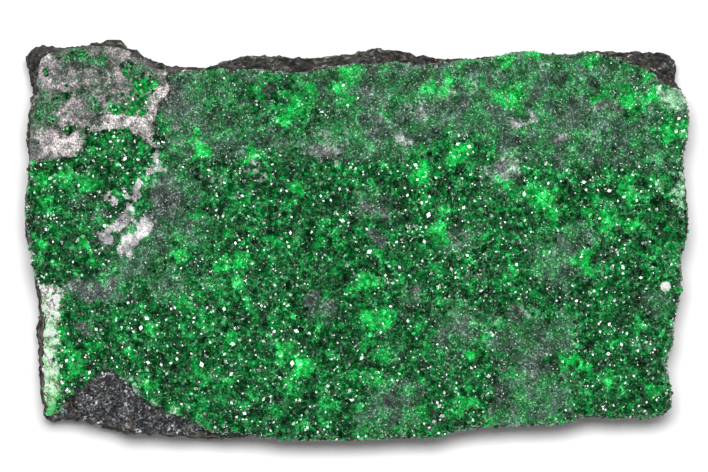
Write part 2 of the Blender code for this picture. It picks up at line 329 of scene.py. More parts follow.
ore_shade = ore.ramp(
    ore.cloud(1.2, 5.0, 0.65, shift=27.0), (0.38, 0.1, 0.1, 0.1), (0.5, 0.85, 0.85, 0.82),
    (0.62, 2.7, 2.6, 2.2),
)
ore_shade = ore.blend(ore.cracks(1.3, 0.03, shift=33.0), ore_shade, (0.1, 0.1, 0.09))
ore_shaded = ore.blend(1.0, ore_whole, ore_shade, "MULTIPLY")
ore_whole = ore.blend(ore.note("weathering"), ore_whole, ore_shaded)
tan_patches = ore.span(ore.cloud(0.7, 5.0, 0.7, shift=19.0), 0.44, 0.6, 0.1, 0.9)
tan_share = ore.reckon("MULTIPLY", ore.note("tan"), tan_patches)
ore.colour(ore.blend(tan_share, ore_whole, (0.38, 0.31, 0.2)))
dull_crust = ore.reckon("MULTIPLY", ore.note("weathering"), 0.7)
ore.gloss(ore.reckon("MAXIMUM", ore.span(ore_tone, 0.0, 1.0, 0.6, 0.22), dull_crust))
ore.bumps(ore.cloud(0.18, 4.0, 0.7), 0.1)
rock.data.materials.append(ore.material)
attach(rock, "root")
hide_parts("chromite_slab")


# The ground that the garnets stand on: a crust of green garnet too fine-grained to show single
# crystals, about a millimetre thick and grown fast to the rock. Where it is broken at the edges it is
# pale, and dusty chlorite greys it in patches.
CRUST_FOOT = 9.3
# How deep the crust reaches at its foot, below the worn upper rim of the rock
ROOTS = 8.65
# Patches of colour, read off as x and y, radius, and strength. Clear bright green garnet:
BRIGHT = [
    (5.8, 6.3, 1, 1), (6.2, 8.1, 0.4, 0.7), (5.6, 4.3, 0.4, 0.7), (-5.4, 5, 0.7, 0.9),
    (-10.3, 3.1, 0.5, 0.6), (-10.3, -2, 0.8, 0.7), (-10.5, -4, 0.7, 0.6), (1.5, -1.3, 0.6, 0.6),
    (0.7, -4, 1.1, 0.6), (1.4, -7, 0.9, 1), (2.7, -7.4, 0.8, 0.9), (7.5, 0.7, 0.8, 0.6),
    (6.5, 4, 0.6, 0.6), (-1.4, 6.7, 0.5, 0.6), (0.2, 6.7, 0.5, 0.6), (-3.3, -0.4, 0.4, 0.5),
    (-7.1, -0.1, 0.5, 0.8), (-2.7, -4.7, 0.4, 0.7), (12.7, 5.8, 0.5, 0.9), (13.9, 4.9, 0.6, 0.9),
    (15.2, 4.2, 0.7, 1), (16.6, 3.5, 0.8, 1), (17.8, 2.9, 0.7, 1), (20.7, 2.8, 0.5, 0.9),
    (22.4, 1.6, 0.8, 1), (25, 1.4, 0.7, 0.8), (24.6, 4.3, 0.9, 0.6), (20.4, -1.5, 0.7, 1),
    (21, -2.5, 0.6, 1), (14.1, -2.7, 0.6, 0.7), (14.8, -5.7, 0.5, 0.7), (21.5, -4.5, 0.5, 0.5),
    (28.8, -4.3, 0.5, 0.8), (-6.3, -9.9, 0.8, 0.7), (-5.1, -11.5, 1, 1), (-5.7, -12.6, 0.7, 1),
    (2.1, -10.6, 0.6, 0.9), (1.8, -12.2, 0.7, 0.8), (5.5, -15.5, 0.8, 0.8), (9.7, -14.8, 0.8, 0.8),
    (19.3, -11, 0.7, 0.9), (21, -11.5, 0.6, 0.7), (22.5, -12.3, 0.8, 0.8), (10.6, -9.9, 0.8, 0.6),
    (27, -13.7, 0.5, 0.8), (-14.4, 2.6, 0.5, 0.7), (-12.1, -2, 0.9, 0.8), (-11.4, 0.5, 0.6, 0.6),
    (-15.9, -1.4, 0.6, 0.6), (-25.2, -11.4, 0.9, 1), (-23.8, -12.1, 0.6, 0.7), (-26.7, -9.9, 0.7, 0.5),
    (-26.7, -8.3, 0.4, 0.7), (-17, -15.4, 0.7, 0.7), (-13.9, -7.4, 0.6, 0.6), (-18.1, -8.1, 0.7, 0.6),
    (-20.4, -10.1, 0.7, 0.5), (-15.4, -5.4, 0.7, 0.6), (-11.4, -9, 0.8, 0.5), (-14.1, -11.9, 0.8, 0.5),
    (-18.6, -13, 0.8, 0.5), (-0.6, 15.3, 0.8, 0.8), (-1.3, 13.5, 1, 0.7), (2.6, 11.2, 0.6, 0.5),
    (6.2, 13.9, 0.7, 0.6), (8, 13.7, 0.8, 0.6), (12.9, 12.8, 0.9, 0.8), (11.4, 13.8, 0.5, 0.5),
    (13.4, 16.2, 1, 0.7), (16.1, 16.9, 0.7, 0.6), (14.3, 12.6, 1, 0.7), (22.3, 13.1, 0.8, 1),
    (21, 16.2, 0.8, 0.6), (26.1, 15.1, 0.7, 0.9), (24.4, 12.6, 0.8, 0.8), (25.7, 12.2, 0.9, 0.8),
    (26.9, 13, 0.6, 0.7), (28.4, 13.7, 0.7, 0.6), (28.8, 9.9, 0.9, 1), (27.5, 5, 0.6, 0.6),
    (8.6, 7.8, 0.8, 1), (9.9, 8.1, 0.6, 0.8), (6.2, 6.9, 0.6, 0.9), (12.3, 8.1, 0.4, 0.6),
    (-5.1, 12.6, 1.3, 0.6), (-6.5, 11.2, 0.8, 0.6), (-9.1, 13.5, 0.9, 0.4), (-11.4, 15.7, 0.7, 0.4),
    (-19.2, 13.9, 0.9, 1), (-19.8, 12.2, 0.7, 1), (-21.6, 11.8, 0.5, 0.7), (-14, 8, 0.8, 1),
    (-14.5, 9.2, 0.5, 0.6), (-9.4, 7.6, 0.5, 0.9), (-28.3, 5.4, 1.1, 0.6), (-26, 6.1, 0.9, 0.5),
    (-24, 5, 1, 0.5), (-27.9, 3.6, 0.8, 0.5), (-28.7, -0.5, 0.5, 0.8), (-24.9, -0.1, 0.7, 0.6),
    (-21.3, 8.1, 1.3, 0.3),
]
# Fine grains, dusted grey-green with chlorite:
DUSTY = [
    (-17, 12.6, 2.3, 1), (-15.2, 9.9, 2.2, 1), (-16.6, 4.5, 2.5, 1), (-15.3, 1.3, 2.3, 1),
    (-18.6, 0, 2.5, 1), (-20.4, -2.3, 2, 0.8), (-17.2, -3.8, 1.8, 0.8), (-22.4, -4, 1.8, 1),
    (-25.2, -4.7, 1.2, 1), (-24.2, -7.6, 0.9, 1), (-24.7, 2.7, 1.8, 0.6), (-12.7, -2.7, 2.3, 0.5),
    (3.6, -14.8, 2.5, 1), (1.4, -16.2, 1.6, 1), (14.6, -9, 2.7, 1), (18.3, -8.1, 1.8, 0.8),
    (16.1, -14.4, 3.4, 1), (14, -15.8, 2.2, 1), (18, -2, 2.7, 0.9), (20.1, 0.4, 1.8, 0.8),
    (12.9, 5.8, 2.2, 0.7), (9.3, 0.3, 1.7, 0.65), (9.4, -7.8, 2.4, 0.85), (27.3, -5.6, 1.5, 0.9),
    (1.5, 3.1, 1.9, 0.65), (-3.2, -6, 1.6, 0.8), (2.1, 0.2, 1.1, 0.5), (25.5, -9.4, 1.4, 0.4),
    (21.9, -13.9, 1.3, 0.4), (11.1, -3.1, 1.4, 0.55), (4.7, -5.2, 1.3, 0.7), (2.6, -10.2, 1.2, 0.6),
    (8.6, -11.2, 1.4, 0.6),
]
# White to lilac coatings:
PALE = [
    (-17.7, 12.8, 0.6, 0.8), (-16.8, 13.8, 0.5, 0.6), (-18.3, 8.5, 0.5, 0.8), (-18.1, 7.2, 0.5, 0.8),
    (-18, 6.3, 0.4, 0.7), (-22.5, 4.1, 0.4, 0.7), (-21.8, 3.4, 0.4, 0.7), (-20.4, 4, 0.6, 0.9),
    (-19.7, 4.6, 0.5, 0.8), (-20.2, 2.6, 0.5, 1), (-20.9, 1.9, 0.6, 1), (-21.6, 1.2, 0.6, 1),
    (-22.4, 0.4, 0.6, 1), (-18.9, 1.6, 0.5, 1), (-19.7, 0.9, 0.6, 1), (-20.3, 0.1, 0.7, 1),
    (-21, -0.9, 0.6, 0.9), (-2.7, 8.4, 1.2, 0.42), (-1.8, 7.2, 0.7, 0.38), (5.8, 11.5, 0.9, 0.36),
    (4.3, 9, 0.8, 0.42), (8.1, 12.9, 0.8, 0.32), (14.4, 10.4, 0.6, 0.55), (15.5, 10.6, 0.5, 0.55),
    (18.3, 9, 0.8, 0.45), (23, 11.2, 0.6, 0.38), (-9.4, 6.5, 0.9, 0.36), (-12.6, 5.8, 0.9, 0.32),
    (-10.8, 4, 0.6, 0.3), (13.6, 6.8, 1.4, 0.34), (-8.3, 5.2, 0.5, 0.5),
    (11.9, 6.3, 0.6, 0.34), (15.8, -12.2, 0.9, 0.3), (14.6, -6.4, 0.9, 0.3),
]
# Thin places, cracks and slate-grey dust, where the crust is grey:
DARK = [
    (17.1, 15.5, 0.6, 0.6), (16.1, 12.9, 0.6, 0.6), (21.9, 12.1, 0.4, 0.9), (22.8, 12, 0.4, 0.9),
    (23.7, 11.8, 0.4, 0.8), (0.7, 13.3, 0.7, 0.9), (1.4, 15.2, 0.4, 0.8), (3, 9.6, 0.4, 0.8),
    (12.6, 12.2, 0.5, 0.7), (-23.5, -0.2, 0.9, 1), (-24.9, -3.9, 1, 1), (-23.5, -4.5, 0.9, 1),
    (-22, -4, 0.8, 0.8), (-24.7, -7.4, 0.6, 0.9), (-24.3, -8.4, 0.5, 0.7), (1.9, 0.3, 0.7, 0.8),
    (-8, 13.3, 0.7, 1), (0.9, 3, 0.9, 0.7), (2.5, 2.5, 0.7, 0.6), (-4, -5.4, 0.7, 0.7),
    (-2.7, -6, 0.7, 0.7), (13.5, -11.7, 0.3, 0.9), (13.3, -12.6, 0.3, 0.9), (12.9, -13.5, 0.3, 0.9),
    (12.6, -14.4, 0.3, 0.9), (12.3, -15.4, 0.3, 0.8), (29.5, 8.1, 0.4, 0.9), (29.4, 5.8, 0.4, 0.9),
    (28.8, 11.2, 0.4, 0.7), (-16.2, 10.1, 0.7, 0.7), (-15, 8.1, 0.6, 0.5), (10.2, 3.6, 0.6, 0.5),
    (22.8, -0.9, 0.7, 0.5), (25.5, -5.4, 0.7, 0.5), (7.5, -8.1, 0.7, 0.5), (-0.6, -14.4, 0.7, 0.5),
    (5.3, -4.5, 0.7, 0.6), (-9.6, 12.5, 0.6, 0.6), (20.4, 12.1, 0.7, 0.6), (16.4, 14.2, 0.7, 0.4),
    (-4.3, 8.2, 0.8, 0.5), (-7.2, 8.8, 0.7, 0.5), (9.3, 12.4, 0.6, 0.5),
    (-16.2, 12.3, 1.8, 0.55), (-17.2, 3.6, 1.5, 0.75), (-18.3, 2.2, 1.1, 0.7), (-28.2, 1.5, 1.1, 0.55),
    (-25.3, -0.5, 1, 0.6), (-23.1, 2.2, 0.8, 0.6), (19.5, 11.3, 1.8, 0.5), (1.8, 11.2, 1.6, 0.45),
    (16.5, -10.5, 1.9, 0.5), (9.4, 0.3, 1.5, 0.42), (9.4, -7.8, 1.7, 0.42), (-14.4, 10.6, 1.2, 0.5),
]
# Broken and powdery edges, pale mint:
MINT = [
    (27.5, 13.3, 0.6, 0.8), (28.6, 12.7, 0.8, 1), (29.3, 11.7, 0.5, 0.9), (27.0, 14.2, 0.5, 0.4),
    (29.3, 7.2, 0.5, 0.9), (29.1, 6.0, 0.4, 0.8), (29.2, 4.7, 0.6, 0.9), (27.6, 5.2, 0.7, 0.4),
    (29, 3.3, 0.4, 0.6), (24.2, 14.3, 0.7, 0.3), (22.8, 12.4, 0.5, 0.3), (-21.1, -12.9, 0.5, 0.8),
    (-20, -13.6, 0.4, 0.7), (-16.8, -15.6, 0.5, 0.7), (-22.4, -11.8, 0.4, 0.5), (-18.4, -14.6, 0.4, 0.5),
    (-13.6, -7.6, 0.5, 0.3), (-16.2, -3.6, 0.5, 0.3),
]
# Coarse crystals with no dust on them, inside the dusty back third:
CLEAN = [(-8.6, 13.0, 1.4, 0.5), (-6.4, 12.4, 2.0, 0.6), (-4.4, 11.2, 1.4, 0.5), (28.4, 10.1, 1.3, 1)]
# The front border of that third, as x and y, its left end, and how dusty it is along x
DUST_BORDER = (
    [-17, -14, -8, 0, 5.4, 6.6, 11, 12.4, 15.8, 20, 30],
    [7.6, 7.0, 7.9, 6.9, 7.4, 9.3, 9.4, 8.0, 6.9, 6.4, 6.8],
)
DUST_LEFT = -17.2
DUST_DEPTH = (
    [DUST_LEFT, -14, -9, -2, 1, 16, 20, 27, 30],
    [0.9, 0.75, 0.65, 0.7, 0.9, 0.9, 0.8, 0.7, 0.6],
)


def frayed(places):
    """Shifts places by noise, so that a round patch read at them gets a natural ragged edge."""
    shifts = []
    for x, y in places:
        shifts.append([
            0.9 * lumps((x, y, level), 1.5, 1) + 0.45 * lumps((x, y, level + 7.0), 0.45, 1)
            for level in (3.0, 23.0)
        ])
    return places + np.array(shifts)


def patches(places, spots):
    """How strongly soft-edged spots colour each place."""
    spots = np.array(spots)
    away = np.hypot(places[:, :1] - spots[:, 0], places[:, 1:] - spots[:, 1]) / spots[:, 2]
    return (spots[:, 3] * np.clip(1.5 - away, 0.0, 1.0)).max(axis=1)


def crust_colours(places):
    """How bright, dusty, pale, dark and mint the crust is at each of these places."""
    shifted = frayed(places)
    x, y = shifted.T
    back = np.clip(0.5 + 0.5 * (y - np.interp(x, *DUST_BORDER)), 0.0, np.interp(x, *DUST_DEPTH))
    back = back * (places[:, 0] > DUST_LEFT)
    bright = patches(shifted, BRIGHT)
    dusty = np.maximum(patches(shifted, DUSTY), back) - 0.4 * bright - patches(shifted, CLEAN)
    return {
        "bright": bright, "dusty": np.clip(dusty, 0, 1), "pale": patches(shifted, PALE),
        "dark": patches(shifted, DARK), "mint": patches(shifted, MINT),
    }


# How far the ground lies below the tips of the crystals, and how uneven it is
GROUND_SUNK = 0.1
UNEVENNESS = 0.055
ground = copy_solid("garnet_crust", "garnet_ground")
refine(ground, 4, lambda c, n: n.z > 0.15, smoothing=14, level=CRUST_FOOT + 0.25)
ground_points, ground_normals = points_of(ground)
pick = np.random.default_rng(2)
upward = (ground_normals[:, 2] > 0.25) & (ground_points[:, 2] > CRUST_FOOT + 0.1)
ground_points[upward, 2] += pick.normal(0.0, UNEVENNESS, upward.sum()) - GROUND_SUNK
ground_points[upward, :2] += pick.uniform(-0.05, 0.05, (upward.sum(), 2))
ground_points[:, 2] = np.where(ground_points[:, 2] < CRUST_FOOT + 0.02, ROOTS, ground_points[:, 2])
put_points(ground, ground_points)
note_on(ground, "facet", pick.random(len(ground.data.polygons)))
for name, values in crust_colours(middles_of(ground)[:, :2]).items():
    note_on(ground, name, values)


def garnet_colours(finish):
    """Colours a garnet finish facet by facet, and returns the facets' random numbers."""
    facet = finish.note("facet")
    drift = finish.span(finish.cloud(0.9, 4.0, 0.65, shift=3.0), 0.32, 0.68, -0.12, 0.46)
    tone = finish.reckon("ADD", drift, finish.reckon("MULTIPLY", facet, 0.66))
    deep_green = finish.ramp(
        tone,
        (0.0, 0.0, 0.006, 0.002), (0.3, 0.0, 0.03, 0.006), (0.5, 0.001, 0.085, 0.016),
        (0.7, 0.003, 0.2, 0.038), (0.85, 0.01, 0.38, 0.075), (1.0, 0.06, 0.62, 0.17),
    )
    vivid_green = finish.ramp(
        tone, (0.0, 0.0, 0.07, 0.008), (0.35, 0.001, 0.27, 0.03), (0.7, 0.005, 0.58, 0.095),
        (1.0, 0.11, 0.86, 0.3),
    )
    dusted_green = finish.ramp(
        tone,
        (0.0, 0.009, 0.032, 0.018), (0.35, 0.024, 0.074, 0.044), (0.65, 0.05, 0.135, 0.085),
        (0.9, 0.11, 0.225, 0.155), (1.0, 0.34, 0.44, 0.38),
    )
    moss_green = finish.ramp(
        tone, (0.0, 0.001, 0.038, 0.009), (0.45, 0.006, 0.135, 0.028), (0.75, 0.018, 0.28, 0.064),
        (1.0, 0.09, 0.48, 0.17),
    )
    lilac_white = finish.ramp(
        tone, (0.0, 0.15, 0.15, 0.16), (0.35, 0.39, 0.385, 0.395), (0.8, 0.65, 0.64, 0.65),
        (1.0, 0.84, 0.83, 0.83),
    )
    mint_edge = finish.ramp(
        tone, (0.0, 0.02, 0.15, 0.06), (0.4, 0.2, 0.46, 0.26), (0.8, 0.5, 0.74, 0.52),
        (1.0, 0.78, 0.9, 0.78),
    )
    rock_grey = finish.ramp(
        tone, (0.0, 0.007, 0.015, 0.01), (0.6, 0.038, 0.066, 0.049), (1.0, 0.21, 0.29, 0.24),
    )

    moss_share = finish.span(finish.cloud(1.5, 4.0, 0.6, shift=11.0), 0.43, 0.55)
    dusty_body = finish.blend(moss_share, dusted_green, moss_green)
    dusty_share = finish.ragged(finish.note("dusty"), 1.2, 0.2, 0.7, shift=5.0)
    vivid_patches = finish.span(finish.cloud(0.8, 4.0, 0.6, shift=23.0), 0.54, 0.66, 0.0, 0.7)
    undusted = finish.span(dusty_share, 0.0, 1.0, 1.0, 0.45)
    vivid_patches = finish.reckon("MULTIPLY", vivid_patches, undusted)
    vivid_share = finish.ragged(finish.note("bright"), 0.6, 0.18, 0.48, shift=31.0)
    vivid_share = finish.reckon("MAXIMUM", vivid_share, vivid_patches)
    dust_grey = finish.ramp(
        tone, (0.0, 0.016, 0.026, 0.02), (0.6, 0.08, 0.112, 0.094), (1.0, 0.32, 0.4, 0.36),
    )
    grey_patches = finish.span(finish.cloud(1.4, 4.0, 0.65, shift=47.0), 0.57, 0.7, 0.0, 0.6)
    grey_share = finish.ragged(finish.note("dark"), 0.6, 0.25, 0.6, shift=53.0)
    grey_share = finish.reckon("MAXIMUM", grey_share, grey_patches)
    body = finish.blend(dusty_share, deep_green, dusty_body)
    body = finish.blend(vivid_share, body, vivid_green)
    body = finish.blend(grey_share, body, finish.blend(dusty_share, rock_grey, dust_grey))
    pale_share = finish.ragged(finish.note("pale"), 0.5, 0.22, 0.5, shift=61.0)
    body = finish.blend(pale_share, body, lilac_white)
    mint_share = finish.ragged(finish.note("mint"), 0.5, 0.22, 0.5, shift=67.0)
    body = finish.blend(mint_share, body, mint_edge)
    # Painted glints: a few facets, more where the crust is dusty, are painted pale like tiny sparkles.
    painted_glint_share = finish.span(dusty_share, 0.0, 1.0, 0.15, 0.38)
    painted_glints = finish.reckon("MULTIPLY", finish.span(facet, 0.82, 0.95), painted_glint_share)
    body = finish.blend(painted_glints, body, (0.4, 0.62, 0.48))
    shade = finish.ramp(
        finish.cloud(1.7, 4.0, 0.6, shift=71.0), (0.35, 0.45, 0.45, 0.45), (0.5, 1.0, 1.0, 1.0),
        (0.65, 1.6, 1.6, 1.6),
    )
    finish.colour(finish.blend(1.0, body, shade, "MULTIPLY"))
    return facet


powder = Finish("fine_grained_garnet", 0.6, 1.86)
powder.surface.inputs["Specular IOR Level"].default_value = 0.15
garnet_colours(powder)
green = Finish("uvarovite_garnet", 0.12, 1.86)
facet = garnet_colours(green)
polish = green.span(facet, 0.1, 0.9, 0.05, 0.17)
green.gloss(green.reckon("MAXIMUM", polish, green.span(green.note("dusty"), 0.3, 0.8, 0.05, 0.26)))
green.bumps(green.cloud(0.15, 1.0), 0.003)
ground.data.materials.append(powder.material)
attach(ground, "root")
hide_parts("garnet_crust")


# The chlorite patch: a dull, sugary, grey to pale lilac coating in the back left corner, softer than
# the garnet, with green garnet showing through in places. Its few pits are only painted: near-black
# green, partly for garnet in them and partly as painted shade of the holes.
LILAC = [
    (-27.8, 16, 1.2, 1), (-28.1, 14.4, 1, 0.8), (-25.8, 14.6, 0.8, 0.7), (-26.5, 13.5, 0.7, 0.7),
    (-25.6, 12.1, 0.8, 0.8), (-26, 10.7, 1, 0.9), (-27.8, 8.8, 1.2, 0.9), (-25.6, 8.2, 1.1, 1),
    (-22.2, 13, 1, 0.7), (-21.7, 14.8, 0.8, 0.6), (-20.8, 16.2, 0.8, 0.7), (-22.4, 11, 0.8, 0.8),
    (-23.4, 10.3, 0.6, 0.6),
]
LEAF = [
    (-24.9, 16.7, 1.1, 1), (-23.3, 16.4, 0.8, 0.9), (-26.7, 17.1, 0.6, 0.6), (-27.9, 11.9, 1.3, 0.9),
    (-29, 11.1, 0.7, 1), (-27.4, 10.5, 0.7, 0.8), (-23.5, 12.2, 0.8, 0.7), (-24.2, 13.1, 0.6, 0.6),
    (-23.1, 13.9, 0.6, 0.5), (-19.5, 15.5, 0.5, 0.7), (-21.3, 12.6, 0.5, 0.6), (-20.6, 15.3, 0.5, 0.7),
    (-19.2, 13.9, 0.9, 0.9), (-19.8, 12.2, 0.7, 0.9), (-21.6, 11.8, 0.5, 0.8),
]
WHITE = [
    (-22.7, 10.6, 0.6, 0.9), (-21.6, 10.8, 0.8, 1), (-20.6, 10.9, 0.9, 1), (-19.4, 10.6, 0.9, 1),
    (-18.5, 9.7, 0.7, 1), (-18.3, 8.5, 0.6, 0.9), (-18.4, 11.9, 0.7, 0.9), (-17.7, 12.8, 0.7, 0.9),
    (-16.8, 13.8, 0.6, 0.8), (-27.3, 7.9, 0.9, 0.7), (-26, 7.9, 0.9, 0.9), (-25.3, 8.6, 0.7, 0.7),
    (-28.6, 15.5, 0.6, 0.7), (-27.9, 16.9, 0.6, 0.6), (-19.9, 9.9, 0.6, 0.8),
]
DIM = [
    (-26.3, 15.5, 0.8, 0.9), (-25.2, 15.2, 0.7, 0.8), (-24.4, 13.8, 0.8, 0.9), (-22.2, 13.2, 0.8, 0.9),
    (-23.6, 10.9, 0.7, 1), (-23.4, 12.0, 0.6, 0.8), (-29.1, 8.9, 0.5, 0.8), (-22.9, 15.4, 0.6, 0.7),
    (-26.6, 12.3, 0.7, 0.7), (-25.0, 9.6, 0.5, 0.6), (-28.9, 13.2, 0.6, 0.7), (-20.9, 13.9, 0.6, 0.6),
]
# Pits, which get painted shade instead of holes in the mesh:
SHADED_PITS = [
    (-27.9, 15.2, 0.3, 1), (-26.1, 12.9, 0.45, 1), (-25.8, 9.8, 0.5, 1), (-24.2, 9.8, 0.4, 0.9),
    (-21.6, 11.9, 0.4, 0.9), (-21.1, 15.7, 0.35, 0.9), (-24.5, 13.7, 0.3, 0.6), (-19.3, 13.8, 0.8, 0.55),
    (-19.9, 12.3, 0.6, 0.5), (-20.2, 14.9, 0.5, 0.5),
]


def chlorite_colours(places):
    """How lilac, green, white and dark the coating is at these places, and its painted pit shade."""
    shifted = frayed(places)
    close = places + 0.3 * (shifted - places)
    return {
        "lilac": patches(shifted, LILAC), "leaf": patches(shifted, LEAF),
        "white": patches(shifted, WHITE), "dim": patches(shifted, DIM), "pit": patches(close, SHADED_PITS),
    }


chlorite = copy_solid("chlorite_patch", "chlorite_coating")
refine(chlorite, 5, lambda c, n: n.z > 0.2 and c.z > CRUST_FOOT + 0.3)
chlorite_points, chlorite_normals = points_of(chlorite)
pick = np.random.default_rng(4)
for i, (point, way) in enumerate(zip(chlorite_points, chlorite_normals)):
    if point[2] < CRUST_FOOT + 0.02:
        point[2] = ROOTS
    if way[2] > 0.4 and point[2] > CRUST_FOOT + 0.35:
        point[2] += 0.09 * lumps(point, 0.9) + pick.normal(0.0, 0.045)
    elif way[0] > 0.25 or way[1] < -0.25:
        point[:2] += way[:2] * 0.34
    chlorite_points[i] = point
put_points(chlorite, chlorite_points)
note_on(chlorite, "facet", pick.random(len(chlorite.data.polygons)))
for name, values in chlorite_colours(middles_of(chlorite)[:, :2]).items():
    note_on(chlorite, name, values)

grey = Finish("lilac_grey_chlorite", 0.6)
grey.surface.inputs["Specular IOR Level"].default_value = 0.2
grains = grey.note("facet")
grey_body = grey.ramp(
    grains, (0.0, 0.07, 0.085, 0.07), (0.5, 0.155, 0.175, 0.148), (1.0, 0.3, 0.32, 0.285),
)
lilac_body = grey.ramp(
    grains, (0.0, 0.26, 0.225, 0.24), (0.5, 0.42, 0.37, 0.39), (1.0, 0.6, 0.55, 0.56),
)
leaf_body = grey.ramp(
    grains, (0.0, 0.004, 0.035, 0.01), (0.5, 0.025, 0.16, 0.055), (1.0, 0.12, 0.38, 0.18),
)
white_body = grey.ramp(
    grains, (0.0, 0.42, 0.385, 0.385), (0.5, 0.58, 0.54, 0.53), (1.0, 0.72, 0.68, 0.66),
)
lilac_drift = grey.span(grey.cloud(1.5, 4.0, 0.6, shift=13.0), 0.5, 0.66, 0.0, 0.7)
lilac_share = grey.ragged(grey.note("lilac"), 0.9, 0.25, 0.7, shift=3.0)
lilac_share = grey.reckon("MAXIMUM", lilac_share, lilac_drift)
leaf_drift = grey.span(grey.cloud(0.9, 5.0, 0.65, shift=29.0), 0.57, 0.66, 0.0, 0.8)
leaf_share = grey.ragged(grey.note("leaf"), 0.6, 0.3, 0.7, shift=7.0)
leaf_share = grey.reckon("MAXIMUM", leaf_share, leaf_drift)
coat = grey.blend(lilac_share, grey_body, lilac_body)
dim_body = grey.ramp(
    grains, (0.0, 0.015, 0.026, 0.019), (0.5, 0.062, 0.09, 0.07), (1.0, 0.18, 0.22, 0.19),
)
coat = grey.blend(grey.ragged(grey.note("dim"), 0.8, 0.25, 0.7, shift=43.0), coat, dim_body)
coat = grey.blend(leaf_share, coat, leaf_body)
coat = grey.blend(grey.ragged(grey.note("white"), 0.5, 0.3, 0.65, shift=17.0), coat, white_body)
# Painted shade of the pits, which are no holes in the mesh; their near-black green is partly garnet.
coat = grey.blend(grey.span(grey.note("pit"), 0.3, 0.8), coat, (0.002, 0.03, 0.008))
grey_shade = grey.ramp(
    grey.cloud(0.8, 4.0, 0.65, shift=41.0), (0.36, 0.42, 0.45, 0.43), (0.5, 1.0, 1.0, 1.0),
    (0.64, 1.35, 1.35, 1.35),
)
coat = grey.blend(1.0, coat, grey_shade, "MULTIPLY")
speckle = grey.ramp(
    grey.cloud(0.17, 2.0, 0.75, shift=37.0), (0.36, 0.35, 0.36, 0.35), (0.5, 0.95, 0.95, 0.95),
    (0.64, 1.8, 1.75, 1.78),
)
grey.colour(grey.blend(1.0, coat, speckle, "MULTIPLY"))
grey.bumps(grey.cloud(0.14, 3.0, 0.6), 0.05, 0.8)
chlorite.data.materials.append(grey.material)
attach(chlorite, "root")
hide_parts("chlorite_patch")


# The garnets: glassy emerald-green crystals, each a rhombic dodecahedron grown half into the crust.
# They are a fifth to nearly one millimetre across over the front, and much smaller along the back.
bpy.ops.mesh.primitive_cube_add(size=1.0)
garnet_form = bpy.context.object
take_up(garnet_form)
bpy.ops.object.mode_set(mode="EDIT")
bpy.ops.mesh.select_all(action="SELECT")
bpy.ops.mesh.poke(offset=0.5)
bpy.ops.mesh.select_all(action="SELECT")
bpy.ops.mesh.dissolve_limited(angle_limit=math.radians(2))
bpy.ops.mesh.normals_make_consistent(inside=False)
bpy.ops.object.mode_set(mode="OBJECT")
FORM_POINTS = np.array([vertex.co for vertex in garnet_form.data.vertices])
FORM_FACES = np.array([list(face.vertices) for face in garnet_form.data.polygons])
bpy.data.objects.remove(garnet_form, do_unlink=True)


def turned(count, pick):
    """Random ways round for a number of crystals, as rotation matrices."""
    w, x, y, z = pick.normal(size=(4, count))
    length = np.sqrt(w * w + x * x + y * y + z * z)
    w, x, y, z = w / length, x / length, y / length, z / length
    return np.array([
        [1 - 2 * (y * y + z * z), 2 * (x * y - z * w), 2 * (x * z + y * w)],
        [2 * (x * y + z * w), 1 - 2 * (x * x + z * z), 2 * (y * z - x * w)],
        [2 * (x * z - y * w), 2 * (y * z + x * w), 1 - 2 * (x * x + y * y)],
    ]).transpose(2, 0, 1)


def grow(name, places, widths, sunk, pick, notes, finish):
    """Grows one crystal or grain at each place, and joins them all into one piece."""
    shapes = np.einsum("nij,kj->nki", turned(len(places), pick), FORM_POINTS)
    shapes = shapes * (0.5 * widths[:, None, None]) + places[:, None, :]
    shapes[:, :, 2] += ((0.5 - sunk) * widths)[:, None]
    shapes = np.clip(shapes, *REACH)
    faces = FORM_FACES[None] + (np.arange(len(places)) * len(FORM_POINTS))[:, None, None]
    mesh = bpy.data.meshes.new(name)
    mesh.from_pydata(shapes.reshape(-1, 3) * MM, [], faces.reshape(-1, 4).tolist())
    piece = bpy.data.objects.new(name, mesh)
    bpy.context.scene.collection.objects.link(piece)
    tones = np.repeat(pick.random(len(places)), len(FORM_FACES))
    note_on(piece, "facet", 0.55 * tones + 0.45 * pick.random(len(tones)))
    for note, values in notes.items():
        note_on(piece, note, np.repeat(values, len(FORM_FACES)))
    mesh.materials.append(finish.material)
    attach(piece, "root")


def strewn(spacing, pick):
    """Places over the whole slab on a shaken triangular grid."""
    rows = np.arange(-18.2, 18.2, spacing * math.sqrt(3) / 2)
    columns = np.arange(-30.2, 30.2, spacing)
    x, y = np.meshgrid(columns, rows)
    x = x + 0.5 * spacing * (np.arange(len(rows)) % 2)[:, None]
    places = np.stack([x.ravel(), y.ravel()], axis=1)
    return places + pick.uniform(-0.36 * spacing, 0.36 * spacing, places.shape)


# A height above the whole specimen, and how wide the join between two of its minerals is
ABOVE = 20.0
JOIN = 0.45
DOWN = Vector((0, 0, -1))


def dropped(places, surface, beside=(), reach=0.12, least_up=0.1):
    """Drops places onto a surface. Those in its join with a neighbour are held level with its rim."""
    landed = []
    for x, y in places:
        hit, normal, _, _ = surface.ray_cast(Vector((x, y, ABOVE)) * MM, DOWN)
        if hit is not None:
            if abs(normal.z) > least_up:
                landed.append((x, y, hit.z / MM))
            continue
        over = Vector((x, y, 10.0)) * MM
        rim, _, _, distance = surface.find_nearest(over)
        in_join = any(other.find_nearest(over)[3] < JOIN * MM for other in beside)
        if distance < (JOIN if in_join else reach) * MM:
            landed.append((x, y, rim.z / MM - 0.05))
    return np.array(landed)


def distance_to(places, surface):
    return np.array([surface.find_nearest(Vector(place) * MM)[3] for place in places]) / MM


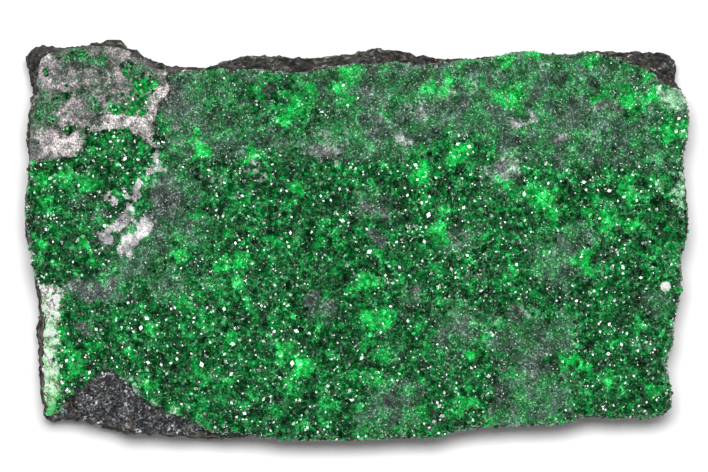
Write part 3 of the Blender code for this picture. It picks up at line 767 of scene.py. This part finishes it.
def on_walls(piece, spacing, pick):
    """Places spread over the steep sides of a piece."""
    piece.data.calc_loop_triangles()
    points, _ = points_of(piece)
    corners = np.array([triangle.vertices for triangle in piece.data.loop_triangles])
    a, b, c = points[corners[:, 0]], points[corners[:, 1]], points[corners[:, 2]]
    across = np.cross(b - a, c - a)
    area = 0.5 * np.linalg.norm(across, axis=1)
    steep = np.abs(across[:, 2]) < 0.8 * area
    chance = np.where(steep, area, 0.0)
    chosen = pick.choice(len(area), int(chance.sum() / spacing**2), p=chance / chance.sum())
    u, v = pick.random((2, len(chosen), 1))
    u, v = np.where(u + v > 1, 1 - u, u), np.where(u + v > 1, 1 - v, v)
    return a[chosen] + u * (b - a)[chosen] + v * (c - a)[chosen]


# Spacing and widths of the coarse and the fine crystals, and how much of each colour of the crust
# the coarse ones take on
COARSE_SPACING, FINE_SPACING = 0.34, 0.26
COARSE_WIDTHS, FINE_WIDTHS = (0.22, 0.85), (0.17, 0.32)
COARSE_TINT = {"bright": 1.0, "dusty": 0.4, "pale": 0.5, "dark": 0.4, "mint": 0.7}
ready = bpy.context.evaluated_depsgraph_get()
ground_surface = BVHTree.FromObject(ground, ready)
chlorite_surface = BVHTree.FromObject(chlorite, ready)
pick = np.random.default_rng(3)
coarse = dropped(strewn(COARSE_SPACING, pick), ground_surface, [chlorite_surface])
colours = crust_colours(coarse[:, :2])
veiled = colours["dusty"] + 1.4 * colours["pale"] + 0.5 * colours["dark"] + colours["mint"]
kept = (veiled < pick.uniform(0.3, 0.9, len(coarse))) | (colours["bright"] > 0.6)
coarse = coarse[kept]
colours = {name: values[kept] for name, values in colours.items()}
for name, low_x, high_x in (
    ("garnets_left", -31, -17), ("garnets_middle_left", -17, -5), ("garnets_middle", -5, 6),
    ("garnets_middle_right", 6, 17), ("garnets_right", 17, 31),
):
    here = (coarse[:, 0] >= low_x) & (coarse[:, 0] < high_x)
    widths = np.clip(np.exp(pick.normal(-1.0, 0.33, here.sum())), *COARSE_WIDTHS)
    widths = widths * (1.0 - 0.4 * colours["dusty"][here])
    notes = {note: share * colours[note][here] for note, share in COARSE_TINT.items()}
    grow(name, coarse[here], widths, pick.uniform(0.35, 0.6, here.sum()), pick, notes, green)

fine = dropped(strewn(FINE_SPACING, pick), ground_surface)
colours = crust_colours(fine[:, :2])
kept = pick.random(len(fine)) < 0.25 + 0.6 * np.clip(colours["dusty"] - 0.5 * colours["pale"], 0, 1)
fine = fine[kept]
colours = {name: values[kept] for name, values in colours.items()}
for name, low_y, high_y in (
    ("fine_garnets_front", -19, -7), ("fine_garnets_middle", -7, 3), ("fine_garnets_back", 3, 11),
    ("fine_garnets_rim", 11, 19),
):
    here = (fine[:, 1] >= low_y) & (fine[:, 1] < high_y)
    notes = {note: values[here] for note, values in colours.items()}
    grow(name, fine[here], pick.uniform(*FINE_WIDTHS, here.sum()), pick.uniform(0.3, 0.6, here.sum()),
         pick, notes, green)

edge = on_walls(ground, 0.3, pick)
grow("broken_edge_garnets", edge, pick.uniform(0.22, 0.5, len(edge)), np.full(len(edge), 0.5), pick,
     crust_colours(edge[:, :2]), green)

# Grains of chlorite lie on its own coating, and are spilt over the garnets next to it.
dust = dropped(strewn(0.22, pick), chlorite_surface, [ground_surface])
dust = dust[pick.random(len(dust)) < 0.7]
spilt = fine[(fine[:, 0] < -15.5) & (fine[:, 1] > 6.0)] + pick.uniform(-0.1, 0.1, 3)
spilt = spilt[pick.random(len(spilt)) < 1.0 - distance_to(spilt, chlorite_surface) / 1.0]
dust = np.concatenate([dust, spilt])
grow("chlorite_grains", dust, pick.uniform(0.12, 0.26, len(dust)),
     pick.uniform(0.45, 0.75, len(dust)), pick, chlorite_colours(dust[:, :2]), grey)

# A few garnets grow on the chlorite, in clusters, in its pits and along its border.
sparse = dropped(strewn(0.29, pick), chlorite_surface, [ground_surface])
leaves = chlorite_colours(sparse[:, :2])
clusters = patches(frayed(sparse[:, :2]), [
    (-19.2, 13.9, 0.9, 1), (-19.8, 12.2, 0.8, 1), (-21.6, 11.8, 0.6, 0.8), (-20.2, 15.0, 0.6, 0.7),
])
encroaching = np.clip(0.9 - distance_to(sparse, ground_surface) / 0.7, 0, 1) * (sparse[:, 1] < 12)
garnet_chance = 1.7 * clusters + 0.12 * leaves["leaf"] + 0.9 * leaves["pit"] + encroaching
garnet_chance = garnet_chance - 0.6 * leaves["white"]
kept = pick.random(len(sparse)) < np.clip(garnet_chance, 0.0, 1)
sparse, clusters = sparse[kept], clusters[kept]
grow("garnets_on_chlorite", sparse, pick.uniform(0.22, 0.55, len(sparse)),
     pick.uniform(0.4, 0.6, len(sparse)), pick,
     {"bright": clusters * pick.uniform(0.3, 1.2, len(sparse))}, green)

# Most of the way round, garnets also cover the narrow rim of rock outside the crust.
rock_surface = BVHTree.FromObject(rock, ready)
seam_outline = BVHTree.FromObject(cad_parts["calcite_seam"], ready)
crusts = (ground_surface, chlorite_surface, seam_outline)


def uncovered(places):
    """The places that none of the crust's minerals lies over."""
    bare = []
    for place in places:
        over = Vector((place[0], place[1], ABOVE)) * MM
        if all(crust.ray_cast(over, DOWN)[0] is None for crust in crusts):
            bare.append(place)
    return np.array(bare)


rim = uncovered(dropped(strewn(0.25, pick), rock_surface, reach=0.0, least_up=0.0))
rim = rim[(rim[:, 2] > 7.0) & (distance_to(rim, ground_surface) < 1.0)]
x, y = rim[:, 0], rim[:, 1]
back_ledge = (y > 12.0) & ((x < 6.0) | (x > 22.0))
other_mineral = (x < -16.0) & (y > 6.5) | (x < -25.0) & (y < -3.0)
in_corner = np.array([is_inside(*place[:2], BARE_CORNER) for place in rim])
rim = rim[~(back_ledge | other_mineral | in_corner) & (pick.random(len(rim)) < 0.85)]
grow("rim_garnets", rim, pick.uniform(0.24, 0.5, len(rim)), pick.uniform(0.4, 0.6, len(rim)), pick,
     crust_colours(rim[:, :2]), green)


# The loose grains of the bare rock, on its ledges and in its front left corner: chromite crystals a
# fifth to a third of a millimetre across, broken open, with painted glints on some faces.
bare = uncovered(dropped(strewn(0.27, pick), rock_surface, reach=0.0, least_up=0.75))
bare_widths, bare_depths = pick.uniform(0.16, 0.38, len(bare)), pick.uniform(0.4, 0.7, len(bare))
ledge_wear, corner_wear = pick.uniform(0.5, 1.0, len(bare)), pick.uniform(0.0, 0.4, len(bare))
wear = np.where(bare[:, 1] > 0, ledge_wear, corner_wear)
bare_notes = {"weathering": wear, "loose": np.ones(len(bare))}
grow("ore_grains_and_glints", bare, bare_widths, bare_depths, pick, bare_notes, ore)


# The pale seam: the broken edge of the crust low on the left side, white calcite at its upper end and
# mint green below, a soft chalky mineral that fills the join between the crust and the rock.
WHITE_FROM, LEAF_FROM = -7.0, -14.4


def whiteness(along):
    """The share of white at places along the seam, which is mint below WHITE_FROM."""
    return np.clip(0.5 + 0.8 * (along - WHITE_FROM), 0, 1)


def leafiness(along):
    """The share of leaf green, which takes over below LEAF_FROM."""
    return np.clip(0.5 - 0.8 * (along - LEAF_FROM), 0, 1)


seam = copy_solid("calcite_seam", "calcite_edge")
refine(seam, 5, lambda c, n: c.z > CRUST_FOOT + 0.05)
seam_points, seam_normals = points_of(seam)
pick = np.random.default_rng(5)
for i, (point, way) in enumerate(zip(seam_points, seam_normals)):
    if point[2] < CRUST_FOOT + 0.02:
        point[2] = ROOTS
    if way[2] > 0.4:
        point[2] += 0.22 * lumps(point, 0.8) - 0.08 + pick.normal(0.0, 0.045)
    if way[0] > 0.25 or abs(way[1]) > 0.5:
        point[:2] += way[:2] * 0.3
    point[0] += 0.42 * lumps(point + 60.0, 0.8) * (point[2] > CRUST_FOOT)
    seam_points[i] = point
put_points(seam, seam_points)
across, along = middles_of(seam)[:, 0], middles_of(seam)[:, 1]
rows = np.linspace(along.min(), along.max(), 12)
middle_line = [across[np.abs(along - row) < 0.8].mean() for row in rows]
to_right = across - np.interp(along, rows, middle_line)
along = along + pick.normal(0.0, 0.35, len(along))
note_on(seam, "facet", pick.random(len(seam.data.polygons)))
note_on(seam, "white", whiteness(along))
note_on(seam, "leaf", leafiness(along) + np.clip(to_right / 0.8, 0, 0.7) * (along < WHITE_FROM - 0.5))
note_on(seam, "stain", np.clip(0.25 + to_right / 1.2, 0, 1))

chalk = Finish("chalky_calcite", 0.65)
chalk.surface.inputs["Specular IOR Level"].default_value = 0.2
chalk_grain = chalk.note("facet")
mint = chalk.ramp(chalk_grain, (0.0, 0.24, 0.6, 0.28), (0.4, 0.46, 0.88, 0.5), (1.0, 0.76, 0.96, 0.76))
white = chalk.ramp(
    chalk_grain, (0.0, 0.68, 0.71, 0.69), (0.5, 0.88, 0.9, 0.88), (1.0, 0.96, 0.97, 0.96),
)
leaf = chalk.ramp(chalk_grain, (0.0, 0.02, 0.4, 0.07), (1.0, 0.2, 0.84, 0.32))
brown = chalk.ramp(chalk_grain, (0.0, 0.03, 0.02, 0.01), (1.0, 0.24, 0.18, 0.1))
white_drift = chalk.span(chalk.cloud(0.9, 4.0, 0.6, shift=9.0), 0.46, 0.58, 0.0, 0.9)
chalk_body = chalk.blend(chalk.reckon("MAXIMUM", chalk.note("white"), white_drift), mint, white)
leaf_drift = chalk.span(chalk.cloud(0.7, 4.0, 0.65, shift=15.0), 0.54, 0.64, 0.0, 0.75)
chalk_body = chalk.blend(chalk.reckon("MAXIMUM", chalk.note("leaf"), leaf_drift), chalk_body, leaf)
stain = chalk.reckon("MULTIPLY", chalk.note("stain"), 0.16)
torn = chalk.reckon("ADD", chalk.cloud(0.45, 5.0, 0.7), stain)
chalk_body = chalk.blend(chalk.span(torn, 0.625, 0.69, 0.0, 0.9), chalk_body, brown)
chalk_cracks = chalk.reckon("MULTIPLY", chalk.cracks(1.8, 0.03, shift=39.0), 0.85)
chalk_body = chalk.blend(chalk_cracks, chalk_body, brown)
chalk_shade = chalk.ramp(
    chalk.cloud(0.5, 4.0, 0.7, shift=21.0), (0.36, 0.68, 0.74, 0.69), (0.46, 1.0, 1.0, 1.0),
)
chalk.colour(chalk.blend(1.0, chalk_body, chalk_shade, "MULTIPLY"))
chalk.bumps(chalk.cloud(0.14, 3.0, 0.65), 0.07)
seam.data.materials.append(chalk.material)
seam_surface = BVHTree.FromObject(seam, bpy.context.evaluated_depsgraph_get())
crumbs = dropped(strewn(0.24, pick), seam_surface, [ground_surface])
crumbs = crumbs[pick.random(len(crumbs)) < 0.6]
crumb_notes = {"white": whiteness(crumbs[:, 1]), "leaf": leafiness(crumbs[:, 1])}
crumb_notes["stain"] = np.full(len(crumbs), 0.3)
grow("calcite_grains", crumbs, pick.uniform(0.14, 0.34, len(crumbs)),
     pick.uniform(0.5, 0.8, len(crumbs)), pick, crumb_notes, chalk)
strays = dropped(strewn(0.34, pick), seam_surface, [ground_surface])
off_middle = strays[:, 0] - np.interp(strays[:, 1], rows, middle_line)
strays = strays[off_middle > pick.uniform(0.1, 0.9, len(strays))]
grow("garnets_on_calcite", strays, pick.uniform(0.24, 0.5, len(strays)),
     pick.uniform(0.35, 0.55, len(strays)), pick,
     {"bright": pick.uniform(0.0, 0.9, len(strays))}, green)
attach(seam, "root")
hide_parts("calcite_seam")


# A single white calcite grain, a millimetre across, caught between the garnets near the right edge.
GRAIN_PLACE = (27.8, -4.2)
GRAIN_RADIUS = 0.5
GRAIN_SHAPE = (1.0, 0.9, 0.75)
# How high its middle lies over the crust
GRAIN_LIFT = 0.12
bpy.ops.mesh.primitive_ico_sphere_add(subdivisions=3, radius=GRAIN_RADIUS * MM)
grain = bpy.context.object
grain.name = "white_calcite_grain"
grain.data.name = grain.name
grain_points, grain_normals = points_of(grain)
for i, (point, way) in enumerate(zip(grain_points, grain_normals)):
    grain_points[i] = point + way * (0.16 * lumps(point, 0.6) + 0.04 * lumps(point, 0.2))
grain_bed = dropped([GRAIN_PLACE], ground_surface)[0] + (0.0, 0.0, GRAIN_LIFT)
put_points(grain, grain_points * GRAIN_SHAPE + grain_bed)
calcite = Finish("white_calcite", 0.35, 1.6)
calcite_cloud = calcite.cloud(0.3, 4.0, 0.6)
calcite.colour(calcite.ramp(calcite_cloud, (0.35, 0.55, 0.59, 0.54), (0.6, 0.86, 0.88, 0.84)))
calcite.surface.inputs["Subsurface Weight"].default_value = 0.3
calcite.surface.inputs["Subsurface Scale"].default_value = 0.3 * MM
grain.data.materials.append(calcite.material)
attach(grain, "root")


# The white table that the specimen lies on, the lamps over it, and the camera. Three lamps light it,
# small ones all round make single crystal faces flash, and the pale room fills in.
TABLE_SIZE = 8.0
bpy.ops.mesh.primitive_plane_add(size=TABLE_SIZE)
table = bpy.context.object
table.name = "table"
paper = Finish("white_paper", 0.9)
paper.colour(paper.ramp(paper.cloud(40.0), (0.3, 0.94, 0.94, 0.94), (0.7, 0.96, 0.96, 0.96)))
paper.surface.inputs["Specular IOR Level"].default_value = 0.0
table.data.materials.append(paper.material)

LAMP_DISTANCE = 0.9
GLINT_GLOW = 15.0
ROOM_LIGHT = 0.26
ROOM_MIRRORED = 0.03


def hang_lamp(name, azimuth, elevation, width, glow, in_glints):
    """Hangs a lamp that either lights the specimen or shows in its glints. Azimuth 90 is its right."""
    data = bpy.data.lights.new(name, "AREA")
    data.shape = "DISK"
    data.size = width
    data.energy = glow * math.pi * math.pi * (width / 2) ** 2
    lamp = bpy.data.objects.new(name, data)
    bpy.context.scene.collection.objects.link(lamp)
    side, up = math.radians(azimuth), math.radians(elevation)
    way = Vector((math.sin(side) * math.cos(up), math.cos(side) * math.cos(up), math.sin(up)))
    lamp.location = way * LAMP_DISTANCE
    lamp.rotation_euler = way.to_track_quat("Z", "Y").to_euler()
    lamp.visible_diffuse = not in_glints
    lamp.visible_glossy = in_glints


hang_lamp("key_lamp", 0, 83, 0.17, 40.0, False)
hang_lamp("left_lamp", -35, 83, 0.15, 44.0, False)
hang_lamp("right_lamp", 35, 83, 0.15, 44.0, False)
hang_lamp("soft_glint", 20, 66, 0.4, 1.2, True)
for number, (azimuth, elevation, width) in enumerate([
    (0, 82, 0.14), (-60, 74, 0.13), (60, 74, 0.13), (180, 72, 0.13), (0, 66, 0.12), (-80, 62, 0.11),
    (80, 62, 0.11), (-25, 60, 0.12), (25, 60, 0.12), (-150, 60, 0.11), (150, 60, 0.11), (0, 50, 0.12),
    (-110, 52, 0.11), (110, 52, 0.11), (-40, 70, 0.11), (40, 72, 0.11), (110, 68, 0.11),
    (-120, 70, 0.11), (-50, 48, 0.11), (50, 46, 0.11), (160, 80, 0.11), (-160, 60, 0.11),
    (-15, 74, 0.11), (15, 56, 0.11),
]):
    hang_lamp("glint_" + str(number), azimuth, elevation, width, GLINT_GLOW, True)

world = bpy.data.worlds.new("studio")
world.use_nodes = True
bpy.context.scene.world = world
sky = world.node_tree
glow_of_room = sky.nodes["Background"]
glow_of_room.inputs["Color"].default_value = (1.0, 1.0, 1.0, 1.0)
ray = sky.nodes.new("ShaderNodeLightPath")
not_mirrored = sky.nodes.new("ShaderNodeMapRange")
not_mirrored.inputs["To Min"].default_value = ROOM_LIGHT
not_mirrored.inputs["To Max"].default_value = ROOM_MIRRORED
sky.links.new(ray.outputs["Is Glossy Ray"], not_mirrored.inputs["Value"])
seen = sky.nodes.new("ShaderNodeMath")
seen.operation = "MAXIMUM"
sky.links.new(ray.outputs["Is Camera Ray"], seen.inputs[0])
sky.links.new(not_mirrored.outputs["Result"], seen.inputs[1])
sky.links.new(seen.outputs["Value"], glow_of_room.inputs["Strength"])
bpy.context.scene.view_settings.view_transform = "Standard"

# The camera looks straight down on the crust, and its frame is FRAME_WIDTH wide there.
CAMERA_PLACE = (-0.000225, 0.00036, 1.21)
CRUST_HEIGHT = 0.01
FRAME_WIDTH = 0.06372
lens = bpy.data.cameras.new("camera")
lens.sensor_width = 36.0
lens.lens = lens.sensor_width * (CAMERA_PLACE[2] - CRUST_HEIGHT) / FRAME_WIDTH
lens.clip_end = 20.0
camera = bpy.data.objects.new("camera", lens)
bpy.context.scene.collection.objects.link(camera)
camera.location = CAMERA_PLACE
bpy.context.scene.camera = camera
